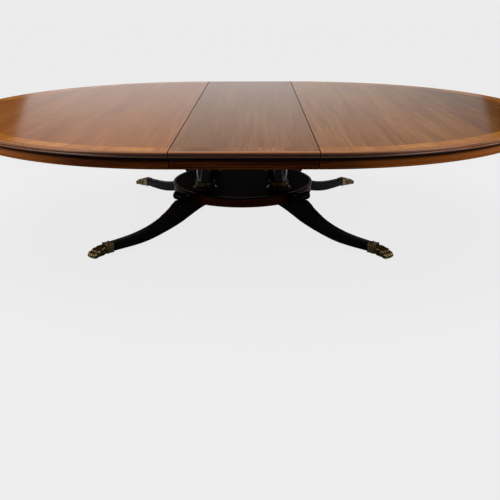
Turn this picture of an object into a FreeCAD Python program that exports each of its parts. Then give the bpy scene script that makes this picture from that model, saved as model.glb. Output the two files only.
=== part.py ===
"""An extending pedestal dining table: two D-ends, one leaf, four columns and four sabre legs.

The origin is on the floor under the middle of the top. X runs along the table, the way the ends pull
out, and Z is up. Lengths are in millimetres.
"""
import FreeCAD
import Part
import Sketcher
import math
import os
import re

doc = FreeCAD.newDocument("ExtendingTable")
sheet = doc.addObject("Spreadsheet::Sheet", "Sizes")

# Driving sizes, by the piece that they belong to
SIZES = {
    # Top boards, leaf and their edges
    "table_height": 750,
    "top_diameter": 2970,
    "leaf_width": 705,
    "top_thickness": 30,
    "seam_gap": 2,
    "edge_width": 30,
    "upper_reed_height": 17,
    "crossband_width": 80,
    "crossband_thickness": 1.5,
    # Aprons and their glue blocks
    "apron_height": 59,
    "apron_thickness": 24,
    "apron_setback": 39,
    "apron_bead_height": 12,
    "glue_block_length": 80,
    "glue_block_side": 26,
    "glue_block_clearance": 0.1,
    # Slide rails and runners
    "rail_spacing": 460,
    "rail_length": 1100,
    "rail_width": 45,
    "rail_height": 65,
    "runner_width": 40,
    "runner_lift": 10,
    "runner_reach": 1000,
    "runner_lap": 430,
    "tongue_depth": 12,
    "tongue_height": 16,
    "slide_clearance": 0.4,
    "cross_bar_place": 600,
    "cross_bar_width": 50,
    "cross_bar_height": 40,
    # Leaf pegs
    "peg_spacing": 500,
    "peg_radius": 6,
    "peg_rise": 12,
    "peg_depth": 25,
    "peg_clearance": 0.4,
    # Swivel catches
    "catch_place": 750,
    "catch_inset": 35,
    "catch_reach": 70,
    "catch_width": 24,
    "catch_thickness": 5,
    "catch_clearance": 0.4,
    "catch_pin_radius": 3,
    "catch_head_radius": 8,
    "catch_head_height": 3,
    "catch_pin_depth": 16,
    "catch_slot_play": 3.5,
    # How far the pedestal stands to the left of the middle of the pulled-out top
    "base_offset": 37,
    # Upper block
    "block_margin": 80,
    "block_thickness": 55,
    "block_chamfer": 60,
    # Columns and their collars
    "column_spacing": 480,
    "shaft_radius": 55,
    "shaft_top_radius": 50,
    "column_foot_radius": 80,
    "column_foot_height": 10,
    "column_step_radius": 72,
    "column_step_height": 4,
    "column_cove_height": 5,
    "capital_radius": 84,
    "capital_height": 26,
    "collar_height": 34,
    "collar_thickness": 9,
    "tenon_radius": 35,
    "tenon_length": 38,
    "joint_clearance": 0.2,
    # Platform
    "platform_radius": 470,
    "platform_bottom": 186,
    "platform_thickness": 64,
    "rim_thickness": 8,
    "platform_bead_height": 11,
    # Sabre legs
    "leg_root_radius": 250,
    "leg_root_depth": 22,
    "leg_width": 80,
    "leg_shoulder_rise": 52,
    "leg_shoulder_length": 60,
    "knee_ledge": 36,
    "knee_rise": 20,
    "ankle_radius": 1108,
    "ankle_underside": 9,
    "ankle_height": 54,
    "ankle_width": 47,
    "leg_round": 8,
    "spigot_length": 40,
    "spigot_height": 30,
    "spigot_width": 30,
    # Knee scrolls
    "scroll_offset": 25,
    "scroll_rise": 54,
    "scroll_radius": 27,
    "scroll_length": 80,
    "scroll_groove_depth": 4,
    # Paws
    "paw_collar_length": 30,
    "paw_collar_side": 7,
    "paw_collar_rise": 5,
    "paw_collar_drop": 7,
    "paw_length": 132,
    "paw_width": 77,
    "paw_height": 51,
    "toe_length": 72,
    "toe_height": 37,
    "toe_sink": 2.5,
    # Bolts and screws
    "bolt_radius": 6,
    "bolt_head_radius": 12,
    "bolt_head_height": 8,
    "bolt_seat": 14,
    "bolt_bite": 24,
    "bolt_root_margin": 32,
    "bolt_rim_margin": 45,
    "screw_radius": 3,
    "screw_head_radius": 6,
    "screw_head_height": 4,
    "screw_bite": 20,
    "paw_screw_recess": 2,
    "counterbore_depth": 14,
    "fastener_clearance": 0.2,
    # Overrun of every cut past the face that it starts from
    "overrun": 20,
}

# Shares of the leg's length and height along its upper and lower curve, from the knee to the ankle
UPPER_CURVE_SHARES = ((0.09, 0.76), (0.22, 0.475), (0.37, 0.255), (0.51, 0.13), (0.65, 0.055), (0.79, 0.02))
LOWER_CURVE_SHARES = (
    (0.13, 0.92), (0.24, 0.74), (0.38, 0.445), (0.50, 0.25), (0.61, 0.11), (0.71, 0.025), (0.80, 0), (0.92, 0),
)
# The toes across the paw, their reach and their length, as shares of the paw's width, its length and a toe
TOE_PLACE_SHARES = (-0.37, -0.13, 0.13, 0.37)
TOE_REACH_SHARES = (0.95, 1.0, 1.0, 0.95)
TOE_LENGTH_SHARES = (0.9, 1.0, 1.0, 0.9)
TOE_WIDTH_SHARE = 0.29
PAW_BODY_SHARE = 0.62
# Where the screws stand along a rail and along a runner, as shares of the block's width and runner's reach
RAIL_SCREW_SHARES = (-0.47, -0.17, 0.17, 0.47)
RUNNER_SCREW_SHARES = (0.12, 0.5, 0.88)
# Number of beads on a knee scroll, and directions of the glue blocks round an end
SCROLL_BEADS = 5
GLUE_BLOCK_ANGLES = (-75, -50, -25, 25, 50, 75)

for row, (alias, number) in enumerate(SIZES.items(), start=1):
    sheet.set(f"A{row}", str(number))
    sheet.setAlias(f"A{row}", alias)
doc.recompute()

# Places that several pieces share, as sums of the driving sizes
UNDERSIDE = "(table_height - top_thickness)"
BASE_MIDDLE = "(-base_offset)"
TOP_RADIUS = "(top_diameter / 2)"
BOARD_RADIUS = "(top_diameter / 2 - edge_width)"
HALF_LEAF = "(leaf_width / 2)"
LEAF_HALF_WIDTH = "(leaf_width / 2 - seam_gap)"
APRON_FACE = "(top_diameter / 2 - apron_setback)"
APRON_BACK = "(top_diameter / 2 - apron_setback - apron_thickness)"
BLOCK_TOP = "(table_height - top_thickness - rail_height)"
BLOCK_BOTTOM = "(table_height - top_thickness - rail_height - block_thickness)"
PLATFORM_TOP = "(platform_bottom + platform_thickness)"
COLLAR_FOOT = f"({PLATFORM_TOP} + column_foot_height + column_step_height + column_cove_height)"
COLLAR_HEAD = f"({BLOCK_BOTTOM} - capital_height - collar_height)"
RUNNER_HEIGHT = "(rail_height - runner_lift)"
RUNNER_BOTTOM = f"({BLOCK_TOP} + runner_lift)"
TONGUE_BOTTOM = f"({RUNNER_BOTTOM} + ({RUNNER_HEIGHT} - tongue_height) / 2)"
BLOCK_WIDTH = "(column_spacing + 2 * block_margin)"
BAND_BOTTOM = "(table_height - crossband_thickness)"
BOLT_SEAT_HEIGHT = "(platform_bottom - bolt_seat)"
BOLT_PLACES = ("(leg_root_radius + bolt_root_margin)", "(platform_radius - bolt_rim_margin)")
SHOULDER_END = "(platform_radius + leg_shoulder_length)"
SCROLL_PLACE = f"({SHOULDER_END} + scroll_offset)"
SCROLL_HEIGHT = "(platform_bottom + scroll_rise)"
SPIGOT_FOOT = "(ankle_underside + (ankle_height - spigot_height) / 2)"
PAW_SCREW_PLACE = "(ankle_radius + spigot_length / 2)"
PAW_SCREW_SEAT = "(paw_screw_recess + screw_head_height)"
PIN_HOLE = "catch_pin_radius + fastener_clearance"
PIN_LENGTH = "catch_thickness + 2 * catch_clearance + catch_pin_depth"
SCREW_HOLE = "screw_radius + fastener_clearance"
CATCH_BOTTOM = f"({UNDERSIDE} - catch_clearance - catch_thickness)"

# Sides of the four corners, which the columns stand at and the legs point to
CORNERS = {"front_left": (-1, -1), "front_right": (1, -1), "back_right": (1, 1), "back_left": (-1, 1)}
LEG_ANGLES = {label: math.degrees(math.atan2(along, across)) for label, (across, along) in CORNERS.items()}

nodes = []


def bound(text):
    """Write an expression with the sheet's name in front of each alias."""
    return re.sub(r"[a-z_]+", lambda word: f"Sizes.{word[0]}" if word[0] in SIZES else word[0], text)


def size(text):
    """The number that an expression of sizes comes to."""
    return float(sheet.evalExpression(bound(text)))


def place(item, x="0", y="0", z="0", turn=0):
    """Put an object at a place that follows the sheet, turned about the vertical."""
    item.Placement = FreeCAD.Placement(FreeCAD.Vector(), FreeCAD.Rotation(FreeCAD.Vector(0, 0, 1), turn))
    for axis, text in (("x", x), ("y", y), ("z", z)):
        item.setExpression(f"Placement.Base.{axis}", bound(text))
    return item


def node(item, label):
    """Name an object as a sub-part of the table."""
    item.Label = label
    nodes.append(item)
    return item


def base_node(item, label, x="0", y="0", z="0", turn=0):
    """Name a sub-part of the pedestal, placed from the pedestal's own middle."""
    return node(place(item, f"{BASE_MIDDLE} + {x}", y, z, turn), label)


def box(length, width, height, x, y, z):
    """A block whose lowest corner is at x, y, z."""
    item = doc.addObject("Part::Box", "Block")
    for name, text in (("Length", length), ("Width", width), ("Height", height)):
        item.setExpression(name, bound(text))
    return place(item, x, y, z)


def cylinder(radius, height, x, y, z, sweep=360, turn=0):
    """An upright cylinder, or a sector of one, standing on x, y, z."""
    item = doc.addObject("Part::Cylinder", "Round")
    item.setExpression("Radius", bound(radius))
    item.setExpression("Height", bound(height))
    item.Angle = sweep
    return place(item, x, y, z, turn)


def cut(base, tool):
    """One object with another taken out of it."""
    item = doc.addObject("Part::Cut", "Cut")
    item.Base = base
    item.Tool = tool
    return item


def fuse(items):
    """Several objects joined into one solid."""
    item = doc.addObject("Part::MultiFuse", "Joined")
    item.Shapes = items
    return item


def group(items):
    """Several separate solids kept together."""
    item = doc.addObject("Part::Compound", "Group")
    item.Links = items
    return item


def body_sketch(name, plane):
    """A new body with a sketch on one of its own origin planes."""
    body = doc.addObject("PartDesign::Body", name)
    sketch = body.newObject("Sketcher::SketchObject", f"{name}Outline")
    origin_plane = next(item for item in body.Origin.OriginFeatures if item.Role == plane)
    sketch.AttachmentSupport = (origin_plane, [""])
    sketch.MapMode = "FlatFace"
    return body, sketch


def arc_centre(start, end, axis, text):
    """The centre of an arc between two points, from one of the centre's own coordinates."""
    middle = (start + end) * 0.5
    chord = end - start
    if axis == "x":
        across = size(text)
        return FreeCAD.Vector(across, middle.y - (across - middle.x) * chord.x / chord.y, 0)
    rise = size(text)
    return FreeCAD.Vector(middle.x - (rise - middle.y) * chord.y / chord.x, rise, 0)


def draw(sketch, corners, arcs=None):
    """Draw a closed outline, with every corner and arc centre bound to the sheet.

    An entry of arcs is keyed by the corner that its edge starts at, and holds which coordinate of the
    centre is given, its place, and 1 where the arc turns anticlockwise or -1 where it turns clockwise.
    """
    arcs = arcs or {}
    points = [FreeCAD.Vector(size(across), size(rise), 0) for across, rise in corners]
    joints = []
    for index, start in enumerate(points):
        end = points[(index + 1) % len(points)]
        if index not in arcs:
            edge = sketch.addGeometry(Part.LineSegment(start, end), False)
            joints.append((edge, 1, 2))
            continue
        axis, text, turn = arcs[index]
        centre = arc_centre(start, end, axis, text)
        first, last = (start, end) if turn > 0 else (end, start)
        opening = math.atan2(first.y - centre.y, first.x - centre.x)
        closing = math.atan2(last.y - centre.y, last.x - centre.x)
        circle = Part.Circle(centre, FreeCAD.Vector(0, 0, 1), (start - centre).Length)
        edge = sketch.addGeometry(Part.ArcOfCircle(circle, opening, closing), False)
        joints.append((edge, 1, 2) if turn > 0 else (edge, 2, 1))
    for index, (edge, first, last) in enumerate(joints):
        following = joints[(index + 1) % len(joints)]
        sketch.addConstraint(Sketcher.Constraint("Coincident", edge, last, following[0], following[1]))
    for index, (edge, first, last) in enumerate(joints):
        across, rise = corners[index]
        places = [("DistanceX", across, first, "across"), ("DistanceY", rise, first, "rise")]
        if index in arcs:
            kind = "DistanceX" if arcs[index][0] == "x" else "DistanceY"
            places.append((kind, arcs[index][1], 3, "centre"))
        for kind, text, vertex, word in places:
            name = f"{word}{index}"
            made = sketch.addConstraint(Sketcher.Constraint(kind, -1, 1, edge, vertex, size(text)))
            sketch.renameConstraint(made, name)
            sketch.setExpression(f"Constraints.{name}", bound(text))


def turned(name, corners, arcs=None, sweep=360, plane="XZ_Plane", axis="V_Axis"):
    """A piece turned about an axis of its sketch, half of the sweep each side of the sketch."""
    body, sketch = body_sketch(name, plane)
    draw(sketch, corners, arcs)
    revolution = body.newObject("PartDesign::Revolution", f"{name}Turning")
    revolution.Profile = sketch
    revolution.ReferenceAxis = (sketch, [axis])
    revolution.Angle = sweep
    revolution.Midplane = sweep < 360
    return body


def drawn_out(name, corners, length, arcs=None, plane="YZ_Plane"):
    """A piece of one section, half of its length each side of the sketch."""
    body, sketch = body_sketch(name, plane)
    draw(sketch, corners, arcs)
    pad = body.newObject("PartDesign::Pad", f"{name}Length")
    pad.Profile = sketch
    pad.SideType = "Symmetric"
    pad.setExpression("Length", bound(length))
    return body


def fastener(radius, length, head_radius, head_height, x, y, z, rise=1):
    """A bolt or screw whose head's seat is at z, with its shank upwards, or downwards where rise is -1."""
    shank_foot = z if rise > 0 else f"{z} - {length}"
    head_foot = f"{z} - {head_height}" if rise > 0 else z
    shank = cylinder(radius, length, x, y, shank_foot)
    head = cylinder(head_radius, head_height, x, y, head_foot)
    return fuse([shank, head])


def turned_place(radius, angle):
    """The x and y of a place at a radius and an angle round a middle."""
    across = round(math.cos(math.radians(angle)), 9)
    along = round(math.sin(math.radians(angle)), 9)
    return f"({radius}) * {across}", f"({radius}) * {along}"


# Edge and apron sections, shared by the round ends and the straight leaf
REED_ROOT = f"({TOP_RADIUS} - upper_reed_height / 2)"
REED_LINE = "(table_height - upper_reed_height)"
EDGE_CORNERS = (
    (BOARD_RADIUS, "table_height"),
    (BOARD_RADIUS, UNDERSIDE),
    (REED_ROOT, UNDERSIDE),
    (REED_ROOT, REED_LINE),
    (REED_ROOT, "table_height"),
)
EDGE_ARCS = {2: ("x", REED_ROOT, 1), 3: ("x", REED_ROOT, 1)}
APRON_FOOT = f"({UNDERSIDE} - apron_height)"
APRON_CORNERS = (
    (APRON_BACK, UNDERSIDE),
    (APRON_BACK, APRON_FOOT),
    (APRON_FACE, APRON_FOOT),
    (APRON_FACE, f"({APRON_FOOT} + apron_bead_height)"),
    (APRON_FACE, UNDERSIDE),
)
APRON_ARCS = {2: ("x", APRON_FACE, 1)}


def screw_holes(places, depth):
    """Holes for the shanks of screws that go up into a piece from its underside."""
    return group([
        cylinder(SCREW_HOLE, f"{depth} + overrun", x, y, f"{z} - overrun")
        for x, y, z in places
    ])


def make_end(side, name):
    """One D-end: side is -1 for the left end and 1 for the right one."""
    seam = f"({side} * {HALF_LEAF})"
    turn = 90 * -side
    facing = 0 if side > 0 else 180

    # Runners lie inside the rails on the left end and outside them on the right end
    lane = f"(rail_spacing / 2 + {side} * (rail_width / 2 + slide_clearance + runner_width / 2))"
    screw_places = []
    keeper_places = []
    for front in (-1, 1):
        for share in RUNNER_SCREW_SHARES:
            along = f"{seam} + {side} * runner_reach * {share}"
            screw_places.append((along, f"{front} * {lane}", UNDERSIDE))
        keeper_places.append((f"{seam} + {side} * (catch_reach - catch_inset)", f"{front} * catch_place"))

    # Top board with a rebate round it for the crossband
    lower = cylinder(BOARD_RADIUS, "top_thickness - crossband_thickness", seam, "0", UNDERSIDE, 180, turn)
    upper = cylinder(f"{BOARD_RADIUS} - crossband_width", "top_thickness", seam, "0", UNDERSIDE, 180, turn)
    pilot_holes = screw_holes(screw_places, "screw_bite")
    keeper_holes = group([
        cylinder(PIN_HOLE, "catch_pin_depth + overrun", x, y, f"{UNDERSIDE} - overrun")
        for x, y in keeper_places
    ])
    node(cut(cut(fuse([lower, upper]), pilot_holes), keeper_holes), f"{name}_top")

    # Crossband let into the rebate
    outer = cylinder(BOARD_RADIUS, "crossband_thickness", seam, "0", BAND_BOTTOM, 180, turn)
    inner = cylinder(
        f"{BOARD_RADIUS} - crossband_width", "crossband_thickness", seam, "0", BAND_BOTTOM, 180, turn
    )
    node(cut(outer, inner), f"{name}_crossband")

    # Reeded lipping and curved apron
    edge = turned(f"{name}Edge", EDGE_CORNERS, EDGE_ARCS, 180)
    node(place(edge, seam, turn=facing), f"{name}_edge")
    apron = turned(f"{name}Apron", APRON_CORNERS, APRON_ARCS, 180)
    node(place(apron, seam, turn=facing), f"{name}_apron")

    # Runners with a tongue towards the rail, screwed up into the board
    inner_end = f"({seam} - {side} * runner_lap)"
    outer_end = f"({seam} + {side} * runner_reach)"
    start = outer_end if side < 0 else inner_end
    length = "(runner_reach + runner_lap)"
    for front, word in ((-1, "front"), (1, "back")):
        middle = f"({front} * {lane})"
        rail_side = -front * side
        bar_side = f"{middle} - runner_width / 2"
        bar = box(length, "runner_width", RUNNER_HEIGHT, start, bar_side, RUNNER_BOTTOM)
        tongue_middle = f"({middle} + {rail_side} * (runner_width / 2 + tongue_depth / 2))"
        tongue_side = f"{tongue_middle} - tongue_depth / 2"
        tongue = box(length, "tongue_depth", "tongue_height", start, tongue_side, TONGUE_BOTTOM)
        own_places = [entry for entry in screw_places if entry[1] == f"{front} * {lane}"]
        bores = []
        for x, y, z in own_places:
            bores.append(cylinder(SCREW_HOLE, RUNNER_HEIGHT, x, y, RUNNER_BOTTOM))
            bores.append(cylinder(
                "screw_head_radius + fastener_clearance", "counterbore_depth", x, y, RUNNER_BOTTOM
            ))
        node(cut(fuse([bar, tongue]), fuse(bores)), f"{name}_runner_{word}")

    # Cross bar between the two runners, or between their tongues where these point inwards
    bar_middle = f"({seam} + {side} * cross_bar_place)"
    span = f"(2 * {lane} - runner_width - {1 + side} * tongue_depth)"
    node(
        box("cross_bar_width", span, "cross_bar_height", f"{bar_middle} - cross_bar_width / 2",
            f"-{span} / 2", f"{UNDERSIDE} - cross_bar_height"),
        f"{name}_cross_bar",
    )

    # Glue blocks in the corner of board and apron, their outer corners against the apron
    blocks = []
    reach = f"(sqrt(({APRON_BACK}) ^ 2 - (glue_block_length / 2) ^ 2) - glue_block_clearance)"
    for angle in GLUE_BLOCK_ANGLES:
        item = doc.addObject("Part::Box", "GlueBlock")
        item.setExpression("Length", bound("glue_block_side"))
        item.setExpression("Width", bound("glue_block_length"))
        item.setExpression("Height", bound("glue_block_side"))
        direction = angle + facing
        across = round(math.cos(math.radians(direction)), 9)
        along = round(math.sin(math.radians(direction)), 9)
        place(
            item,
            f"{seam} + ({reach} - glue_block_side) * {across} + glue_block_length / 2 * {along}",
            f"({reach} - glue_block_side) * {along} - glue_block_length / 2 * {across}",
            f"{UNDERSIDE} - glue_block_side",
            direction,
        )
        blocks.append(item)
    node(group(blocks), f"{name}_blocks")

    # Runner screws, their heads up in counterbores, and the keepers of the catches
    screws = [
        fastener("screw_radius", f"({RUNNER_HEIGHT} - counterbore_depth + screw_bite)", "screw_head_radius",
                 "screw_head_height", x, y, f"({RUNNER_BOTTOM} + counterbore_depth)")
        for x, y, z in screw_places
    ]
    node(group(screws), f"{name}_screws")
    keeper_seat = f"({CATCH_BOTTOM} - catch_clearance)"
    keepers = [
        fastener("catch_pin_radius", PIN_LENGTH, "catch_head_radius", "catch_head_height", x, y, keeper_seat)
        for x, y in keeper_places
    ]
    node(group(keepers), f"{name}_keepers")


def make_leaf():
    """The straight leaf with its bands, edges, aprons, glue blocks and catch pivots."""
    long_side = f"(2 * {LEAF_HALF_WIDTH})"
    start = f"(-{LEAF_HALF_WIDTH})"
    lower = box(
        long_side, f"2 * {BOARD_RADIUS}", "top_thickness - crossband_thickness", start, f"-{BOARD_RADIUS}",
        UNDERSIDE,
    )
    field = f"({BOARD_RADIUS} - crossband_width)"
    upper = box(long_side, f"2 * {field}", "top_thickness", start, f"-{field}", UNDERSIDE)
    peg_holes = [
        cylinder("peg_radius + peg_clearance", "peg_rise + peg_clearance + overrun",
                 f"{BASE_MIDDLE} + {along} * peg_spacing / 2", f"{front} * rail_spacing / 2",
                 f"{UNDERSIDE} - overrun")
        for along in (-1, 1) for front in (-1, 1)
    ]
    pivot_places = [
        (f"{along} * ({HALF_LEAF} - catch_inset)", f"{front} * catch_place")
        for along in (-1, 1) for front in (-1, 1)
    ]
    pivot_holes = [
        cylinder(PIN_HOLE, "catch_pin_depth + overrun", x, y, f"{UNDERSIDE} - overrun")
        for x, y in pivot_places
    ]
    node(cut(fuse([lower, upper]), group(peg_holes + pivot_holes)), "leaf_top")
    blocks = []
    for front, word, facing in ((-1, "front", 180), (1, "back", 0)):
        band_start = field if front > 0 else f"(-{BOARD_RADIUS})"
        band = box(long_side, "crossband_width", "crossband_thickness", start, band_start, BAND_BOTTOM)
        node(band, f"leaf_crossband_{word}")
        edge = drawn_out(f"LeafEdge{word}", EDGE_CORNERS, long_side, EDGE_ARCS)
        node(place(edge, turn=facing), f"leaf_edge_{word}")
        apron = drawn_out(f"LeafApron{word}", APRON_CORNERS, long_side, APRON_ARCS)
        node(place(apron, turn=facing), f"leaf_apron_{word}")
        block_start = f"({APRON_BACK} - glue_block_side)" if front > 0 else f"(-{APRON_BACK})"
        for along in (-1, 1):
            blocks.append(box(
                "glue_block_length", "glue_block_side", "glue_block_side",
                f"{along} * {HALF_LEAF} / 2 - glue_block_length / 2", block_start,
                f"{UNDERSIDE} - glue_block_side",
            ))
    node(group(blocks), "leaf_blocks")
    pivot_seat = f"({CATCH_BOTTOM} - catch_clearance)"
    pivots = [
        fastener("catch_pin_radius", PIN_LENGTH, "catch_head_radius", "catch_head_height", x, y, pivot_seat)
        for x, y in pivot_places
    ]
    node(group(pivots), "catch_pivots")


def make_catch(side, front, label):
    """A swivel catch, lying along the seam with its slot towards the end that it will hold.

    Its bar runs from the pivot towards the table's middle, and the slot opens on the side that leads
    when it swings across the seam.
    """
    pivot_x = f"({side} * ({HALF_LEAF} - catch_inset))"
    pivot_y = f"({front} * catch_place)"
    inwards = -front
    tip = "(catch_reach + catch_width / 2)"
    bar_start = pivot_y if inwards > 0 else f"({pivot_y} - {tip})"
    bar_side = f"{pivot_x} - catch_width / 2"
    bar = box("catch_width", tip, "catch_thickness", bar_side, bar_start, CATCH_BOTTOM)
    eye = cylinder("catch_width / 2", "catch_thickness", pivot_x, pivot_y, CATCH_BOTTOM)
    bore = cylinder(
        "catch_pin_radius + catch_clearance", "catch_thickness + 2 * overrun", pivot_x, pivot_y,
        f"{CATCH_BOTTOM} - overrun",
    )
    slot_depth = "(catch_width / 2 + catch_pin_radius + catch_clearance)"
    slot_width = "(2 * catch_pin_radius + catch_slot_play)"
    slot_middle = f"({pivot_y} + {inwards} * catch_reach)"
    slot_start = f"{pivot_x} - catch_width / 2 - overrun"
    if side > 0:
        slot_start = f"{pivot_x} + catch_width / 2 - {slot_depth}"
    slot = box(
        f"{slot_depth} + overrun", slot_width, "catch_thickness + 2 * overrun", slot_start,
        f"{slot_middle} - {slot_width} / 2", f"{CATCH_BOTTOM} - overrun",
    )
    node(cut(fuse([bar, eye]), group([bore, slot])), label)


def make_rails():
    """The two fixed rails, grooved on both sides, with the leaf pegs and the rail screws."""
    groove_depth = "(tongue_depth + slide_clearance)"
    groove_height = "(tongue_height + 2 * slide_clearance)"
    pegs = []
    screws = []
    for front, word in ((-1, "front"), (1, "back")):
        middle = f"({front} * rail_spacing / 2)"
        bar_side = f"{middle} - rail_width / 2"
        bar = box("rail_length", "rail_width", "rail_height", "-rail_length / 2", bar_side, BLOCK_TOP)
        tools = []
        for flank in (-1, 1):
            face = f"({middle} + {flank} * rail_width / 2)"
            groove_start = f"{face} - overrun" if flank < 0 else f"{face} - {groove_depth}"
            tools.append(box(
                "rail_length + 2 * overrun", f"{groove_depth} + overrun", groove_height,
                "-rail_length / 2 - overrun", groove_start, f"{TONGUE_BOTTOM} - slide_clearance",
            ))
        for along in (-1, 1):
            x = f"{along} * peg_spacing / 2"
            foot = f"({UNDERSIDE} - peg_depth)"
            pegs.append(cylinder("peg_radius", "peg_depth + peg_rise", x, middle, foot))
            tools.append(cylinder(
                "peg_radius + fastener_clearance", "peg_depth + fastener_clearance + overrun", x, middle,
                f"{foot} - fastener_clearance",
            ))
        for share in RAIL_SCREW_SHARES:
            x = f"{BLOCK_WIDTH} * {share}"
            seat = f"({BLOCK_BOTTOM} + counterbore_depth)"
            length = "(block_thickness - counterbore_depth + screw_bite)"
            screws.append(fastener(
                "screw_radius", length, "screw_head_radius", "screw_head_height", x, middle, seat
            ))
            tools.append(cylinder(SCREW_HOLE, "screw_bite + overrun", x, middle, f"{BLOCK_TOP} - overrun"))
        base_node(cut(bar, fuse(tools)), f"rail_{word}")
    base_node(group(pegs), "leaf_pegs")
    base_node(group(screws), "rail_screws")


def make_block():
    """The upper block, with cut corners, mortises for the columns and holes for the rail screws."""
    half = f"({BLOCK_WIDTH} / 2)"
    short = f"({BLOCK_WIDTH} / 2 - block_chamfer)"
    corners = (
        (short, f"-{half}"), (half, f"-{short}"), (half, short), (short, half),
        (f"-{short}", half), (f"-{half}", short), (f"-{half}", f"-{short}"), (f"-{short}", f"-{half}"),
    )
    body, sketch = body_sketch("UpperBlock", "XY_Plane")
    draw(sketch, corners)
    pad = body.newObject("PartDesign::Pad", "UpperBlockThickness")
    pad.Profile = sketch
    pad.setExpression("Length", bound("block_thickness"))
    place(body, z=BLOCK_BOTTOM)
    tools = []
    for across in (-1, 1):
        for along in (-1, 1):
            tools.append(cylinder(
                "tenon_radius + joint_clearance", "tenon_length + joint_clearance + overrun",
                f"{across} * column_spacing / 2", f"{along} * column_spacing / 2",
                f"{BLOCK_BOTTOM} - overrun",
            ))
    for front in (-1, 1):
        for share in RAIL_SCREW_SHARES:
            x = f"{BLOCK_WIDTH} * {share}"
            y = f"{front} * rail_spacing / 2"
            tools.append(cylinder(
                SCREW_HOLE, "block_thickness + 2 * overrun", x, y, f"{BLOCK_BOTTOM} - overrun"
            ))
            tools.append(cylinder(
                "screw_head_radius + fastener_clearance", "counterbore_depth + overrun", x, y,
                f"{BLOCK_BOTTOM} - overrun",
            ))
    base_node(cut(body, fuse(tools)), "pedestal_block")


def make_column(across, along, label):
    """A turned column with a moulded foot, a plain shaft, a capital and a tenon at each end."""
    foot_top = f"({PLATFORM_TOP} + column_foot_height)"
    step_top = f"({foot_top} + column_step_height)"
    foot_root = "(column_foot_radius - column_foot_height / 2)"
    capital_foot = f"({BLOCK_BOTTOM} - capital_height)"
    capital_root = "(capital_radius - capital_height / 2)"
    corners = (
        ("0", f"{PLATFORM_TOP} - tenon_length"),
        ("tenon_radius", f"{PLATFORM_TOP} - tenon_length"),
        ("tenon_radius", PLATFORM_TOP),
        (foot_root, PLATFORM_TOP),
        (foot_root, foot_top),
        ("column_step_radius", foot_top),
        ("column_step_radius", step_top),
        ("shaft_radius + collar_thickness", COLLAR_FOOT),
        ("shaft_radius", COLLAR_FOOT),
        ("shaft_top_radius", capital_foot),
        (capital_root, capital_foot),
        (capital_root, BLOCK_BOTTOM),
        ("tenon_radius", BLOCK_BOTTOM),
        ("tenon_radius", f"{BLOCK_BOTTOM} + tenon_length"),
        ("0", f"{BLOCK_BOTTOM} + tenon_length"),
    )
    arcs = {
        3: ("x", foot_root, 1),
        6: ("x", "column_step_radius", -1),
        10: ("x", capital_root, 1),
    }
    column = turned(f"Column{label}", corners, arcs)
    x = f"{across} * column_spacing / 2"
    base_node(column, f"column_{label}", x, f"{along} * column_spacing / 2")


def make_collars():
    """Brass collars at the foot and the head of each shaft."""
    rings = []
    shaft_length = f"({BLOCK_BOTTOM} - capital_height - {COLLAR_FOOT})"
    taper = "(shaft_radius - shaft_top_radius)"
    head_radius = f"(shaft_top_radius + {taper} * collar_height / {shaft_length})"
    for across in (-1, 1):
        for along in (-1, 1):
            x = f"{across} * column_spacing / 2"
            y = f"{along} * column_spacing / 2"
            for radius, foot in (("shaft_radius", COLLAR_FOOT), (head_radius, COLLAR_HEAD)):
                ring = cylinder(f"{radius} + collar_thickness", "collar_height", x, y, foot)
                bore = cylinder(
                    f"{radius} + joint_clearance", "collar_height + 2 * overrun", x, y, f"{foot} - overrun"
                )
                rings.append(cut(ring, bore))
    base_node(group(rings), "column_collars")


def make_platform():
    """The platform board with a bead round its top edge, and the rim band under the bead."""
    board_radius = "(platform_radius - rim_thickness)"
    bead_foot = f"({PLATFORM_TOP} - platform_bead_height)"
    corners = (
        ("0", "platform_bottom"),
        (board_radius, "platform_bottom"),
        (board_radius, bead_foot),
        ("platform_radius", bead_foot),
        ("platform_radius", PLATFORM_TOP),
        ("0", PLATFORM_TOP),
    )
    board = turned("PlatformBoard", corners, {3: ("x", "platform_radius", 1)})
    tools = []
    for across in (-1, 1):
        for along in (-1, 1):
            tools.append(cylinder(
                "tenon_radius + joint_clearance", "tenon_length + joint_clearance + overrun",
                f"{across} * column_spacing / 2", f"{along} * column_spacing / 2",
                f"{PLATFORM_TOP} - tenon_length - joint_clearance",
            ))
    for angle in LEG_ANGLES.values():
        for radius in BOLT_PLACES:
            x, y = turned_place(radius, angle)
            tools.append(cylinder(
                "bolt_radius + fastener_clearance", "bolt_bite + fastener_clearance + overrun", x, y,
                "platform_bottom - overrun",
            ))
    base_node(cut(board, group(tools)), "platform_board")
    rim_height = "(platform_thickness - platform_bead_height)"
    outer = cylinder("platform_radius", rim_height, "0", "0", "platform_bottom")
    inner = cylinder(board_radius, f"{rim_height} + 2 * overrun", "0", "0", "platform_bottom - overrun")
    base_node(cut(outer, inner), "platform_rim")


def share_points(shares, start, end):
    """Points along a curve, from shares of the way between two of its ends."""
    span = end - start
    inner = [
        FreeCAD.Vector(start.x + span.x * along, 0, end.z - span.z * rise)
        for along, rise in shares
    ]
    return [start, *inner, end]


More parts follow.
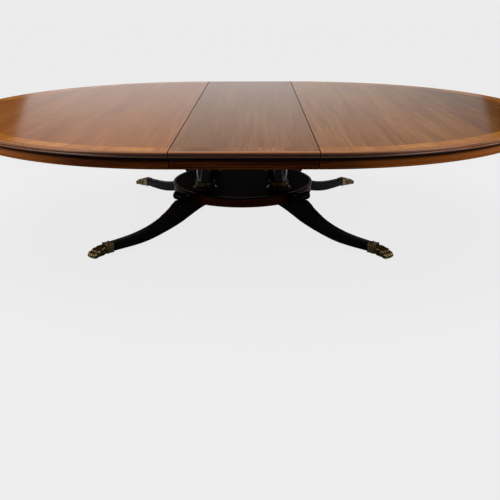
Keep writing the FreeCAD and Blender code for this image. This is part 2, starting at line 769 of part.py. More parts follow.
def leg_shape():
    """A sabre leg along +X: sawn to its side curves, tapered in plan, and rounded along its edges.

    Its root is lapped under the platform, its shoulder meets the rim, a trough holds the knee scroll
    and a spigot at the ankle goes into the paw.
    """
    shoulder = size("platform_bottom + leg_shoulder_rise")
    rim = size("platform_radius - overrun")
    shoulder_end = size(SHOULDER_END)
    knee = FreeCAD.Vector(size(f"{SHOULDER_END} + knee_ledge"), 0, size("platform_bottom + knee_rise"))
    ankle_top = FreeCAD.Vector(size("ankle_radius"), 0, size("ankle_underside + ankle_height"))
    ankle_foot = FreeCAD.Vector(size("ankle_radius"), 0, size("ankle_underside"))
    root = FreeCAD.Vector(size("leg_root_radius"), 0, size("platform_bottom - leg_root_depth"))
    lap = size("platform_bottom")
    upper = Part.BSplineCurve()
    upper.interpolate(share_points(UPPER_CURVE_SHARES, knee, ankle_top))
    lower = Part.BSplineCurve()
    lower.interpolate(share_points(LOWER_CURVE_SHARES, root, ankle_foot))
    corners = [
        knee,
        FreeCAD.Vector(shoulder_end, 0, knee.z),
        FreeCAD.Vector(shoulder_end, 0, shoulder),
        FreeCAD.Vector(rim, 0, shoulder),
        FreeCAD.Vector(rim, 0, lap),
        FreeCAD.Vector(root.x, 0, lap),
        root,
    ]
    edges = [Part.makeLine(corners[index], corners[index + 1]) for index in range(len(corners) - 1)]
    edges += [lower.toShape(), Part.makeLine(ankle_foot, ankle_top), upper.toShape()]
    side = Part.Face(Part.Wire(Part.__sortEdges__(edges)))
    width = size("leg_width")
    side.translate(FreeCAD.Vector(0, -width / 2, 0))
    plank = side.extrude(FreeCAD.Vector(0, width, 0))

    # Plan taper from the knee to the ankle
    ankle = size("ankle_width") / 2
    overrun = size("overrun")
    outline = [
        FreeCAD.Vector(root.x - overrun, -width / 2, 0),
        FreeCAD.Vector(knee.x, -width / 2, 0),
        FreeCAD.Vector(ankle_top.x, -ankle, 0),
        FreeCAD.Vector(ankle_top.x + overrun, -ankle, 0),
        FreeCAD.Vector(ankle_top.x + overrun, ankle, 0),
        FreeCAD.Vector(ankle_top.x, ankle, 0),
        FreeCAD.Vector(knee.x, width / 2, 0),
        FreeCAD.Vector(root.x - overrun, width / 2, 0),
    ]
    plan = Part.Face(Part.makePolygon(outline + outline[:1]))
    leg = plank.common(plan.extrude(FreeCAD.Vector(0, 0, shoulder + overrun)))

    # Rounded long edges beyond the knee
    shortest = ankle_top.x - knee.x - overrun
    rounded = [
        edge for edge in leg.Edges
        if edge.BoundBox.XMin > knee.x - overrun and edge.BoundBox.XLength > shortest
    ]
    leg = leg.makeFillet(size("leg_round"), rounded)

    # Trough for the knee scroll and the hollow that meets the rim
    reach = width + 2 * overrun
    trough = Part.makeCylinder(
        size("scroll_radius + joint_clearance"), reach,
        FreeCAD.Vector(size(SCROLL_PLACE), -reach / 2, size(SCROLL_HEIGHT)), FreeCAD.Vector(0, 1, 0),
    )
    bead = size("platform_bead_height / 2")
    drum = Part.makeCylinder(
        size("platform_radius + joint_clearance"), size("table_height"), FreeCAD.Vector(0, 0, lap)
    )
    bead_drum = Part.makeCylinder(
        size("platform_radius + joint_clearance") + bead, size("table_height"),
        FreeCAD.Vector(0, 0, size(f"{PLATFORM_TOP} - platform_bead_height - joint_clearance")),
    )
    leg = leg.cut(trough).cut(drum).cut(bead_drum)

    # Bores for the two bolts, each with a counterbore from below
    seat = size(BOLT_SEAT_HEIGHT)
    for radius in BOLT_PLACES:
        foot = FreeCAD.Vector(size(radius), 0, 0)
        leg = leg.cut(Part.makeCylinder(size("bolt_radius + fastener_clearance"), lap + overrun, foot))
        leg = leg.cut(Part.makeCylinder(size("bolt_head_radius + fastener_clearance"), seat, foot))

    # Spigot with the bore of the paw screw
    spigot_foot = size(SPIGOT_FOOT)
    spigot_width = size("spigot_width")
    spigot = Part.makeBox(
        size("spigot_length") + overrun, spigot_width, size("spigot_height"),
        FreeCAD.Vector(ankle_top.x - overrun, -spigot_width / 2, spigot_foot),
    )
    bore = Part.makeCylinder(
        size(SCREW_HOLE), size("screw_bite + fastener_clearance"),
        FreeCAD.Vector(size(PAW_SCREW_PLACE), 0, spigot_foot),
    )
    return leg.fuse(spigot).removeSplitter().cut(bore)


def make_leg(label, angle, shape):
    """A leg turned to its own corner."""
    leg = doc.addObject("Part::Feature", f"Leg{label}")
    leg.Shape = shape
    base_node(leg, f"leg_{label}", turn=angle)


def make_scroll(label, angle):
    """A reeded roll across the knee: a row of beads turned on one axis."""
    bead = f"(scroll_length / {SCROLL_BEADS})"
    groove = "(scroll_radius - scroll_groove_depth)"
    centre = f"({groove} + scroll_radius) / 2 - {bead} ^ 2 / (8 * scroll_groove_depth)"
    corners = [("-scroll_length / 2", "0"), ("scroll_length / 2", "0")]
    arcs = {}
    for index in range(SCROLL_BEADS + 1):
        if index < SCROLL_BEADS:
            arcs[len(corners)] = ("y", centre, 1)
        corners.append((f"scroll_length / 2 - {index} * {bead}", groove))
    roll = turned(f"Scroll{label}", corners, arcs, plane="YZ_Plane", axis="H_Axis")
    x, y = turned_place(SCROLL_PLACE, angle)
    base_node(roll, f"knee_scroll_{label}", x, y, SCROLL_HEIGHT, angle)


def paw_toe(across_share, reach_share, length_share):
    """One toe of a paw that points along +X."""
    toe = doc.addObject("Part::Ellipsoid", "Toe")
    length = f"(toe_length * {length_share} / 2)"
    toe.setExpression("Radius2", bound(length))
    toe.setExpression("Radius3", bound(f"paw_width * {TOE_WIDTH_SHARE} / 2"))
    toe.setExpression("Radius1", bound("toe_height / 2"))
    return place(
        toe, f"ankle_radius + paw_length * {reach_share} - {length}", f"paw_width * {across_share}",
        "toe_height / 2 - toe_sink",
    )


def make_paw(label, angle):
    """A cast brass paw: a square collar, a rounded foot and four toes, with a socket for the leg."""
    collar_width = "(ankle_width + 2 * paw_collar_side)"
    collar = box(
        "paw_collar_length", collar_width, "ankle_height + paw_collar_rise + paw_collar_drop", "ankle_radius",
        f"-{collar_width} / 2", "ankle_underside - paw_collar_drop",
    )
    foot = doc.addObject("Part::Ellipsoid", "PawFoot")
    foot.setExpression("Radius2", bound(f"paw_length * {PAW_BODY_SHARE}"))
    foot.setExpression("Radius3", bound("paw_width / 2"))
    foot.setExpression("Radius1", bound("paw_height"))
    place(foot, f"ankle_radius + paw_length * (1 - {PAW_BODY_SHARE})")
    toes = [paw_toe(*shares) for shares in zip(TOE_PLACE_SHARES, TOE_REACH_SHARES, TOE_LENGTH_SHARES)]
    trim_side = "(paw_width + 2 * overrun)"
    floor = box(
        "2 * paw_length", trim_side, "paw_height + overrun", "ankle_radius - paw_length / 2",
        f"-{trim_side} / 2", "-paw_height - overrun",
    )
    heel = box(
        "paw_length", trim_side, "paw_height + 2 * overrun", "ankle_radius - paw_length",
        f"-{trim_side} / 2", "-overrun",
    )
    socket = box(
        "spigot_length + joint_clearance + overrun", "spigot_width + 2 * joint_clearance",
        "spigot_height + 2 * joint_clearance", "ankle_radius - overrun",
        "-spigot_width / 2 - joint_clearance", f"{SPIGOT_FOOT} - joint_clearance",
    )
    bore = cylinder(SCREW_HOLE, SPIGOT_FOOT, PAW_SCREW_PLACE, "0", "0")
    sink = cylinder(
        "screw_head_radius + fastener_clearance", f"{PAW_SCREW_SEAT} + overrun", PAW_SCREW_PLACE, "0",
        "-overrun",
    )
    solid = cut(fuse([collar, foot, *toes]), fuse([floor, heel, socket, bore, sink]))
    base_node(solid, f"paw_{label}", turn=angle)


def make_leg_fasteners():
    """Two bolts up through each leg into the platform, and a screw up through each paw into its leg."""
    bolts = []
    screws = []
    screw_length = f"({SPIGOT_FOOT} - {PAW_SCREW_SEAT} + screw_bite)"
    for angle in LEG_ANGLES.values():
        for radius in BOLT_PLACES:
            x, y = turned_place(radius, angle)
            bolts.append(fastener(
                "bolt_radius", "bolt_seat + bolt_bite", "bolt_head_radius", "bolt_head_height", x, y,
                BOLT_SEAT_HEIGHT,
            ))
        x, y = turned_place(PAW_SCREW_PLACE, angle)
        screws.append(fastener(
            "screw_radius", screw_length, "screw_head_radius", "screw_head_height", x, y, PAW_SCREW_SEAT
        ))
    base_node(group(bolts), "leg_bolts")
    base_node(group(screws), "paw_screws")


make_end(-1, "left")
make_end(1, "right")
make_leaf()
for side, side_word in ((-1, "left"), (1, "right")):
    for front, front_word in ((-1, "front"), (1, "back")):
        make_catch(side, front, f"catch_{side_word}_{front_word}")
make_rails()
make_block()
for label, (across, along) in CORNERS.items():
    make_column(across, along, label)
make_collars()
make_platform()
sabre_leg = leg_shape()
for label, angle in LEG_ANGLES.items():
    make_leg(label, angle, sabre_leg)
    make_scroll(label, angle)
    make_paw(label, angle)
make_leg_fasteners()

doc.recompute()

for item in doc.Objects:
    if "Invalid" in item.State or "Error" in item.State:
        raise RuntimeError(f"{item.Label} ({item.Name}) failed: {item.State}")
for item in nodes:
    if item.Shape.isNull() or not item.Shape.isValid():
        raise RuntimeError(f"{item.Label} has no sound shape")

os.makedirs("parts", exist_ok=True)
for item in nodes:
    item.Shape.exportStep(f"parts/{item.Label}.step")
    print(item.Label, len(item.Shape.Solids), round(item.Shape.Volume))
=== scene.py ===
"""Dresses the extending pedestal table: black base, brass paws and a polished, crossbanded top."""
import bpy
import math
import numpy as np
from mathutils import Matrix, Vector


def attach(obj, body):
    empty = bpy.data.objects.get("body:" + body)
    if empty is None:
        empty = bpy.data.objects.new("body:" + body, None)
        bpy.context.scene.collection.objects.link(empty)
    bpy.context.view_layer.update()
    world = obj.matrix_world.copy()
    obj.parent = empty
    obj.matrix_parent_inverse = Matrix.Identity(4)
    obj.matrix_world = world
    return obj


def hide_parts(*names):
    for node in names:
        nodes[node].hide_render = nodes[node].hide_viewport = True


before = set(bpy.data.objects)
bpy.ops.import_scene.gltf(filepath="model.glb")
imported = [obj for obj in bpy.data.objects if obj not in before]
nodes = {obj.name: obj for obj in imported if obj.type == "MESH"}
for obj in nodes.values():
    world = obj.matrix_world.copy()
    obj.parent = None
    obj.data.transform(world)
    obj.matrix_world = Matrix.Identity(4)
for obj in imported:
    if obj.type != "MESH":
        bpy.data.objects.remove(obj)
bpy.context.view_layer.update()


# Platform board
# A thick round board, stained black and polished, turned with a bead along its top edge.
# The columns are tenoned into its top and the legs are bolted up under it.
class Paint:
    """A value, colour or vector of a finish. Sums on values add Math nodes, and node() adds any other."""

    def __init__(self, tree, socket=None):
        self.tree = tree
        self.socket = socket

    def node(self, kind, settings=None, inputs=None, output=0):
        """Add one node: its settings first, then the values or links of its sockets."""
        made = self.tree.nodes.new(kind)
        for name, value in (settings or {}).items():
            if name == "stops":
                while len(made.color_ramp.elements) < len(value):
                    made.color_ramp.elements.new(1)
                for element, (position, colour) in zip(made.color_ramp.elements, value):
                    element.position = position
                    element.color = colour
            else:
                setattr(made, name, value)
        for name, value in (inputs or {}).items():
            if isinstance(value, Paint):
                self.tree.links.new(value.socket, made.inputs[name])
            else:
                made.inputs[name].default_value = value
        return Paint(self.tree, made.outputs[output])

    def sum(self, operation, first, second=0.0):
        """One Math node."""
        return self.node("ShaderNodeMath", {"operation": operation}, {0: first, 1: second})

    def __add__(self, other):
        return self.sum("ADD", self, other)

    __radd__ = __add__

    def __sub__(self, other):
        return self.sum("SUBTRACT", self, other)

    def __rsub__(self, other):
        return self.sum("SUBTRACT", other, self)

    def __mul__(self, other):
        return self.sum("MULTIPLY", self, other)

    __rmul__ = __mul__

    def __truediv__(self, other):
        return self.sum("DIVIDE", self, other)

    def __abs__(self):
        return self.sum("ABSOLUTE", self)

    def step(self, low, high):
        """A soft step from 0 to 1 between two values."""
        return self.node(
            "ShaderNodeMapRange", {"interpolation_type": "SMOOTHSTEP"},
            {"Value": self, "From Min": low, "From Max": high},
        )

    def blend(self, first, second):
        """A colour between two others, at this share of the second."""
        return self.node("ShaderNodeMix", {"data_type": "RGBA"}, {0: self, 6: first, 7: second}, output=2)

    def noise(self, scale, detail, roughness=0.5):
        """Noise at this place."""
        inputs = {"Vector": self, "Scale": scale, "Detail": detail, "Roughness": roughness}
        return self.node("ShaderNodeTexNoise", inputs=inputs)

    def split(self):
        """The three parts of a vector."""
        parts = self.node("ShaderNodeSeparateXYZ", inputs={0: self}).socket.node.outputs
        return [Paint(self.tree, part) for part in parts]

    def vector(self, x, y, z):
        """A vector from three values."""
        return self.node("ShaderNodeCombineXYZ", inputs={0: x, 1: y, 2: z})

    def dent(self, distance):
        """A normal from this height, in metres at a height of 1."""
        return self.node("ShaderNodeBump", inputs={"Strength": 1, "Distance": distance, "Height": self})

    def feed(self, shader, socket):
        """Link this to one of the shader's sockets."""
        self.tree.links.new(self.socket, shader.inputs[socket])


def new_finish(name, plain):
    """A material, its shader with the plain values set, and the place on the piece for its sums."""
    finish = bpy.data.materials.new(name)
    finish.use_nodes = True
    shader = finish.node_tree.nodes["Principled BSDF"]
    for socket, value in plain.items():
        shader.inputs[socket].default_value = value
    place = Paint(finish.node_tree).node("ShaderNodeTexCoord", output="Object")
    return finish, shader, place


def dress(finish, *names):
    """Give pieces of the frame a finish."""
    for name in names:
        mesh = nodes[name].data
        mesh.materials.clear()
        mesh.materials.append(finish)


BASE_MIDDLE = -0.037
BEAD_RADIUS = 0.462
BEAD_BLUR = 0.008
STAIN_BLACK = (0.0022, 0.0019, 0.0018, 1)
RUBBED_BROWN = (0.008, 0.0033, 0.002, 1)
BRUSH_MARKS = 0.0002


def black_stain(name, gloss, shine, matt=None, marks=BRUSH_MARKS):
    """Black-stained wood with faint brush marks, rubbed brown in places.

    matt is the share left unpolished, and marks is the depth of the brush marks.
    """
    stain, shader, place = new_finish(name, {"Specular IOR Level": gloss})
    rubbed = place.noise(7, 5, 0.62).step(0.56, 0.76)
    brushed = place.noise(150, 3)
    (rubbed * 0.5).blend(STAIN_BLACK, RUBBED_BROWN).feed(shader, "Base Color")
    sheen = shine + brushed * 0.1 + rubbed * 0.12
    if matt:
        sheen = sheen + matt(place) * 0.5
    sheen.feed(shader, "Roughness")
    brushed.dent(marks).feed(shader, "Normal")
    return stain


def platform_top(place):
    """The flat of the platform, inside its polished bead."""
    x, y, _ = place.split()
    out = x - BASE_MIDDLE
    return 1 - (out * out + y * y).step(BEAD_RADIUS ** 2 - BEAD_BLUR, BEAD_RADIUS ** 2)


dress(black_stain("dull_black", 0.06, 0.2, platform_top), "platform_board")


# Platform rim
# A veneered band of dark mahogany round the platform, under the turned bead.
# Its grain follows the curve, and it is glued to the board's edge.
RIM_RADIUS = 0.47
TONE_STOPS = (0.32, 0.5, 0.68)
PORE_SHADE = 0.35
# Near-black for old wax in the seams, and for painted shade under the lipping and its lower reed.
WAX_AND_SHADE_DARK = (0.006, 0.0015, 0.0008, 1)


def timber(name, lay, tones, shine, tint=None, grime_and_shade=None, gloss=0.5, raw=None):
    """A polished wood. lay turns a place into distances along, across and into its grain.

    tint shifts its tone from place to place, on the lipping and the right end as painted light or shade; the
    dark share is old dirt and wax along the seams, and painted shade on the lipping and apron, and raw is
    the share that was never polished.
    """
    wood, shader, place = new_finish(name, {"IOR": 1.5, "Specular IOR Level": gloss})
    grain = lay(place)

    def streaks(stretch, detail):
        stretched = place.node("ShaderNodeVectorMath", {"operation": "MULTIPLY"}, {0: grain, 1: stretch})
        return stretched.noise(1, detail, 0.6) - 0.5

    band = streaks((0.6, 7, 7), 3)
    figure = streaks((1.1, 32, 32), 4)
    stripe = streaks((1.5, 120, 120), 2)
    fibre = streaks((14, 700, 700), 2)
    pore = (streaks((90, 2600, 2600), 1) + 0.5).step(0.6, 0.7)
    tone = 0.5 + band * 0.35 + figure * 0.36 + stripe * 0.42 + fibre * 0.3
    if tint:
        tone = tone + tint(place)
    stops = [(stop, (*colour, 1)) for stop, colour in zip(TONE_STOPS, tones)]
    colour = place.node("ShaderNodeValToRGB", {"stops": stops}, {"Fac": tone})
    pore_colour = tuple(part * PORE_SHADE for part in tones[0])
    colour = (pore * 0.45).blend(colour, (*pore_colour, 1))
    sheen = shine + fibre * 0.05 + pore * 0.08
    if grime_and_shade:
        # Blend towards near-black: old wax at the seams, painted shade under the lipping.
        grime_and_shade_share = grime_and_shade(place)
        colour = grime_and_shade_share.blend(colour, WAX_AND_SHADE_DARK)
        sheen = sheen + grime_and_shade_share * 0.7
    if raw:
        sheen = sheen + raw(place) * 0.55
    colour.feed(shader, "Base Color")
    sheen.feed(shader, "Roughness")
    (1 - pore).dent(0.00006).feed(shader, "Normal")
    return wood


def rim_grain(centre, radius):
    """The lay of a grain that follows a round edge about a centre on the X axis."""
    def lay(place):
        x, y, z = place.split()
        out = x - centre
        angle = place.sum("ARCTAN2", y, out)
        reach = place.sum("SQRT", out * out + y * y)
        return place.vector(angle * radius, z, reach)
    return lay


rim_tones = ((0.01, 0.0022, 0.001), (0.024, 0.0045, 0.002), (0.045, 0.009, 0.003))
rim_lay = rim_grain(BASE_MIDDLE, RIM_RADIUS)
dress(timber("rim_mahogany", rim_lay, rim_tones, 0.24, gloss=0.04), "platform_rim")


# Sabre legs
# Four sawn and carved legs of black-stained wood, lapped under the platform and bolted up into it.
# Each sweeps down to a brass paw. Two rows of lobes are carved below its knee, and shallow reeds along it.
ebonised = black_stain("ebonised", 0.14, 0.28)
CORNER_ANGLES = {"front_left": 225, "front_right": 315, "back_right": 45, "back_left": 135}
KNEE_REACH = 0.566
KNEE_FADE = 0.01
KNEE_HALF_WIDTH = 0.04
ANKLE_REACH = 1.108
ANKLE_HALF_WIDTH = 0.0235
LOBES_START = 0.31
LOBE_ROW = 0.13
LOBE_WIDTH = 0.0133
LOBE_HEIGHT = 0.0024
LOBE_TIP_SHARE = 0.86
LOBE_EDGE = 0.002
LOBES_END = LOBES_START + 2 * LOBE_ROW
REED_DEPTH = 0.0017
REED_FADE = 0.03
REED_FIELD_SHARE = 1.72
REEDS_END = 1.05
REEDS = 5
LEG_VOXEL = 0.0023
MERGE_DISTANCE = 0.00001


def pick(piece):
    """Select one piece and nothing else."""
    bpy.ops.object.select_all(action="DESELECT")
    piece.select_set(True)
    bpy.context.view_layer.objects.active = piece


def finish_with(piece, kind, **settings):
    """Put a modifier on a piece and apply it."""
    pick(piece)
    modifier = piece.modifiers.new(kind.lower(), kind)
    for name, value in settings.items():
        setattr(modifier, name, value)
    bpy.ops.object.modifier_apply(modifier=modifier.name)


def copy_of(node_name, name):
    """A copy of a piece of the frame, with the corners of its faces merged."""
    piece = bpy.data.objects.new(name, nodes[node_name].data.copy())
    bpy.context.scene.collection.objects.link(piece)
    pick(piece)
    bpy.ops.object.mode_set(mode="EDIT")
    bpy.ops.mesh.select_all(action="SELECT")
    bpy.ops.mesh.remove_doubles(threshold=MERGE_DISTANCE)
    bpy.ops.object.mode_set(mode="OBJECT")
    return piece


def corner_turn(corner):
    """The move from a piece that points along +X to its corner of the pedestal."""
    turned = Matrix.Rotation(math.radians(CORNER_ANGLES[corner]), 4, "Z")
    return Matrix.Translation((BASE_MIDDLE, 0, 0)) @ turned


def place_at_corners(pattern, node_prefix, finish):
    """Copy a piece that points along +X to the four corners, each copy in place of its node."""
    pattern.data.materials.clear()
    pattern.data.materials.append(finish)
    for corner in CORNER_ANGLES:
        piece = pattern.copy()
        piece.data = pattern.data.copy()
        piece.name = f"{pattern.name}_{corner}"
        bpy.context.scene.collection.objects.link(piece)
        piece.data.transform(corner_turn(corner))
        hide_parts(f"{node_prefix}_{corner}")
        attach(piece, "base")
    bpy.data.objects.remove(pattern)


def points_of(mesh, source, name):
    """The positions or normals of a mesh as rows of three numbers."""
    values = np.empty(len(mesh.vertices) * 3)
    source.foreach_get(name, values)
    return values.reshape(-1, 3)


def soft_step(values, low, high):
    """A soft step from 0 to 1 for rows of numbers."""
    share = np.clip((values - low) / (high - low), 0, 1)
    return share * share * (3 - 2 * share)


leg = copy_of("leg_front_right", "carved_leg")
leg.data.transform(corner_turn("front_right").inverted())
finish_with(leg, "REMESH", mode="VOXEL", voxel_size=LEG_VOXEL)
finish_with(leg, "SMOOTH", factor=0.5, iterations=4)
places = points_of(leg.data, leg.data.vertices, "co")
normals = points_of(leg.data, leg.data.vertex_normals, "vector")
reach, across, rise = places.T
down_leg = reach - rise
narrowing = np.clip((reach - KNEE_REACH) / (ANKLE_REACH - KNEE_REACH), 0, 1)
half_width = KNEE_HALF_WIDTH + (ANKLE_HALF_WIDTH - KNEE_HALF_WIDTH) * narrowing
upward = soft_step(normals[:, 2], 0.25, 0.5) * soft_step(reach, KNEE_REACH, KNEE_REACH + KNEE_FADE)
row, along_row = np.divmod(down_leg - LOBES_START, LOBE_ROW)
lobe = np.mod(across / LOBE_WIDTH + 0.5 * np.mod(row, 2), 1) - 0.5
lobe_form = np.sqrt(np.clip(1 - 4 * lobe ** 2, 0, 1))
along_lobe = along_row / LOBE_ROW
lobe_rise = lobe_form * along_lobe * (1 - soft_step(along_lobe, LOBE_TIP_SHARE, 1))
carved = LOBE_HEIGHT * lobe_rise * (1 - soft_step(down_leg, LOBES_END - LOBE_EDGE, LOBES_END + LOBE_EDGE))
reed = np.sqrt(np.abs(np.sin(np.pi * REEDS * (across / (REED_FIELD_SHARE * half_width) + 0.5))))
in_field = 1 - soft_step(np.abs(across) / half_width, 0.8, 0.88)
reeded = soft_step(down_leg, LOBES_END, LOBES_END + REED_FADE)
reeded = reeded * (1 - soft_step(reach, REEDS_END, REEDS_END + REED_FADE))
carved = carved - REED_DEPTH * (1 - reed) * reeded * in_field
places = places + normals * (carved * upward)[:, None]
leg.data.vertices.foreach_set("co", places.ravel())
bpy.ops.object.shade_smooth()
place_at_corners(leg, "leg", ebonised)


# Knee scrolls
# Reeded rolls across the top of each leg, let into a trough in the knee and glued.
# They are turned from the same black-stained wood, with a sunk ring and a button at each end.
SCROLL_HALF = 0.04
SCROLL_END_SLACK = 0.0005
SCROLL_END_RINGS = ((0.004, 0.0), (0.0015, -0.003), (0.005, 0.0), (0.001, 0.005), (0.004, 0.0015))
scroll = copy_of("knee_scroll_front_right", "reeded_scroll")
scroll.data.transform(corner_turn("front_right").inverted())
finish_with(scroll, "DECIMATE", decimate_type="DISSOLVE", angle_limit=math.radians(2))
for side in (-1, 1):
    pick(scroll)
    bpy.ops.object.mode_set(mode="EDIT")
    bpy.ops.mesh.select_mode(type="FACE")
    bpy.ops.mesh.select_all(action="DESELECT")
    bpy.ops.object.mode_set(mode="OBJECT")
    for face in scroll.data.polygons:
        at_end = abs(face.center.y) > SCROLL_HALF - SCROLL_END_SLACK
        face.select = face.normal.y * side > 0.99 and at_end
    bpy.ops.object.mode_set(mode="EDIT")
    for inset, push in SCROLL_END_RINGS:
        bpy.ops.mesh.inset(thickness=inset)
        bpy.ops.transform.translate(value=(0, side * push, 0))
    bpy.ops.object.mode_set(mode="OBJECT")
pick(scroll)
bpy.ops.object.shade_smooth_by_angle(angle=math.radians(40))
place_at_corners(scroll, "knee_scroll", ebonised)


# Paws
# Cast brass paws with a moulded square ferrule, which fits over the end of the leg and is screwed to it.
# The brass is old: nearly black in its hollows and rubbed bright along the toes.
COLLAR_HALF = 0.0305
COLLAR_FOOT = 0.002
COLLAR_HEAD = 0.068
COLLAR_OVERLAP = 0.022
COLLAR_HOLLOW = -0.34
COLLAR_STEPS = (
    (0.0050, 0.91), (0.0014, 0.87), (0.0320, 0.87), (0.0014, 0.92), (0.0045, 0.92), (0.0040, 0.8),
)
COLLAR_BEVEL = 0.0012
PAW_VOXEL = 0.0014
HEEL_CUT = 0.002
CUT_SLACK = 0.000001
DIRT_SPREAD = 14
DIRT_DEPTH = 0.0012
BODY_LUMPS = (
    (0.030, 0.030, (0.034, 0.0280, 0.031), 14),
    (0.054, 0.023, (0.044, 0.0340, 0.029), 10),
    (0.080, 0.011, (0.036, 0.0345, 0.015), 0),
)
TOES = ((-0.0282, 0.005), (-0.0096, 0.0), (0.0096, 0.0), (0.0282, 0.005))
TOE_LUMPS = (
    (0.062, 0.9, 0.0385, (0.0260, 0.0092, 0.0125), 20),
    (0.087, 1.0, 0.0280, (0.0215, 0.0096, 0.0155), 36),
    (0.108, 1.02, 0.0145, (0.0210, 0.0095, 0.0175), 16),
    (0.122, 1.02, 0.0085, (0.0098, 0.0046, 0.0066), 30),
)
TUFTS = (-0.02, -0.0067, 0.0067, 0.02)
TUFT_REACH = 0.041
TUFT_RISE = 0.052
TUFT_FALL = 0.25
TUFT_RADII = (0.0150, 0.0064, 0.0068)
TUFT_TILT = 22


def ball(reach, across, rise, radii, tilt):
    """An egg of metal at a distance from the ankle, tipped down towards the toes."""
    bpy.ops.mesh.primitive_uv_sphere_add(
        segments=24, ring_count=16, radius=1, location=(ANKLE_REACH + reach, across, rise),
        rotation=(0, math.radians(tilt), 0), scale=radii,
    )
    return bpy.context.object


def join(pieces, name):
    """Several pieces made into one, with its place in its mesh."""
    bpy.ops.object.select_all(action="DESELECT")
    for piece in pieces:
        piece.select_set(True)
    bpy.context.view_layer.objects.active = pieces[0]
    bpy.ops.object.join()
    bpy.ops.object.transform_apply(location=True, rotation=True, scale=True)
    pieces[0].name = name
    return pieces[0]


def hollows(piece, spread, depth):
    """Keep how far each point of a piece lies below its surroundings, for the dirt in its hollows."""
    mesh = piece.data
    places = points_of(mesh, mesh.vertices, "co")
    normals = points_of(mesh, mesh.vertex_normals, "vector")
    ends = np.empty(len(mesh.edges) * 2, dtype=np.int64)
    mesh.edges.foreach_get("vertices", ends)
    first, second = ends.reshape(-1, 2).T
    count = np.maximum(np.bincount(ends, minlength=len(places)), 1)
    level = places
    for _ in range(spread):
        total = np.zeros_like(level)
        np.add.at(total, first, level[second])
        np.add.at(total, second, level[first])
        level = total / count[:, None]
    below = np.einsum("ij,ij->i", level - places, normals) / depth
    mesh.attributes.new("hollow", "FLOAT", "POINT").data.foreach_set("value", np.clip(below, -1, 1))


lumps = [ball(reach, 0.0, rise, radii, tilt) for reach, rise, radii, tilt in BODY_LUMPS]
for across, short in TOES:
    for reach, spread, rise, radii, tilt in TOE_LUMPS:
        lumps.append(ball(reach - short, across * spread, rise, radii, tilt))
for across in TUFTS:
    lumps.append(ball(TUFT_REACH, across, TUFT_RISE - abs(across) * TUFT_FALL, TUFT_RADII, TUFT_TILT))
foot = join(lumps, "cast_paw")
finish_with(foot, "REMESH", mode="VOXEL", voxel_size=PAW_VOXEL)
finish_with(foot, "SMOOTH", factor=0.5, iterations=8)
pick(foot)
bpy.ops.object.mode_set(mode="EDIT")
for point, normal in (((0, 0, 0), (0, 0, 1)), ((ANKLE_REACH + HEEL_CUT, 0, 0), (1, 0, 0))):
    bpy.ops.mesh.select_all(action="SELECT")
    bpy.ops.mesh.bisect(
        plane_co=point, plane_no=normal, clear_inner=True, use_fill=True, threshold=CUT_SLACK,
    )
bpy.ops.object.mode_set(mode="OBJECT")
bpy.ops.object.shade_smooth()
hollows(foot, DIRT_SPREAD, DIRT_DEPTH)

collar_middle = (COLLAR_FOOT + COLLAR_HEAD) / 2
bpy.ops.object.select_all(action="DESELECT")
collar_reach = ANKLE_REACH - COLLAR_OVERLAP
bpy.ops.mesh.primitive_plane_add(
    size=1, location=(collar_reach, 0, collar_middle), rotation=(0, math.pi / 2, 0),
)
collar = bpy.context.object
collar_share = COLLAR_STEPS[0][1]
collar.scale = (collar_share * (COLLAR_HEAD - COLLAR_FOOT), collar_share * 2 * COLLAR_HALF, 1)
bpy.ops.object.transform_apply(location=True, rotation=True, scale=True)
bpy.ops.object.mode_set(mode="EDIT")
bpy.ops.mesh.select_all(action="SELECT")
for length, share in COLLAR_STEPS:
    bpy.ops.mesh.extrude_region_move(TRANSFORM_OT_translate={"value": (length, 0, 0)})
    collar_reach += length
    change = share / collar_share
    bpy.ops.transform.resize(value=(1, change, change), center_override=(collar_reach, 0, collar_middle))
    collar_share = share
bpy.ops.mesh.select_all(action="SELECT")
bpy.ops.mesh.normals_make_consistent(inside=False)
bpy.ops.object.mode_set(mode="OBJECT")
finish_with(
    collar, "BEVEL", width=COLLAR_BEVEL, segments=2, limit_method="ANGLE", angle_limit=math.radians(20),
)
bpy.ops.object.shade_smooth_by_angle(angle=math.radians(35))
rubbed_all_over = np.full(len(collar.data.vertices), COLLAR_HOLLOW)
collar.data.attributes.new("hollow", "FLOAT", "POINT").data.foreach_set("value", rubbed_all_over)

antique_brass, shader, place = new_finish("antique_brass", {})
hollow = place.node("ShaderNodeAttribute", {"attribute_name": "hollow"}, output="Fac")
patch = place.noise(60, 5, 0.65).step(0.36, 0.66)
fine = place.noise(700, 3)
rubbed = (0.0 - hollow).step(0.1, 0.7) * (1 - patch * 0.3)
dirty = hollow.step(-0.05, 0.45)
worn = patch.blend((0.12, 0.086, 0.028, 1), (0.04, 0.029, 0.011, 1))
worn = rubbed.blend(worn, (0.8, 0.63, 0.33, 1))
dirty.blend(worn, (0.008, 0.006, 0.0035, 1)).feed(shader, "Base Color")
(1 - dirty * 0.7).feed(shader, "Metallic")
(0.34 - rubbed * 0.14 + patch * 0.1 + fine * 0.06).feed(shader, "Roughness")
fine.dent(0.00004).feed(shader, "Normal")
place_at_corners(join([foot, collar], "cast_paw"), "paw", antique_brass)


# Leg bolts and paw screws
# Steel bolts up through the legs into the platform, and a screw up through each paw into its leg.
# They are dulled by age, with a brown bloom of rust.
old_steel, shader, place = new_finish("old_steel", {"Metallic": 1})
bloom = place.noise(180, 5, 0.6).step(0.5, 0.7)
(bloom * 0.8).blend((0.4, 0.4, 0.41, 1), (0.13, 0.06, 0.03, 1)).feed(shader, "Base Color")
(0.38 + bloom * 0.3).feed(shader, "Roughness")
dress(old_steel, "leg_bolts", "paw_screws", "rail_screws", "left_screws", "right_screws")


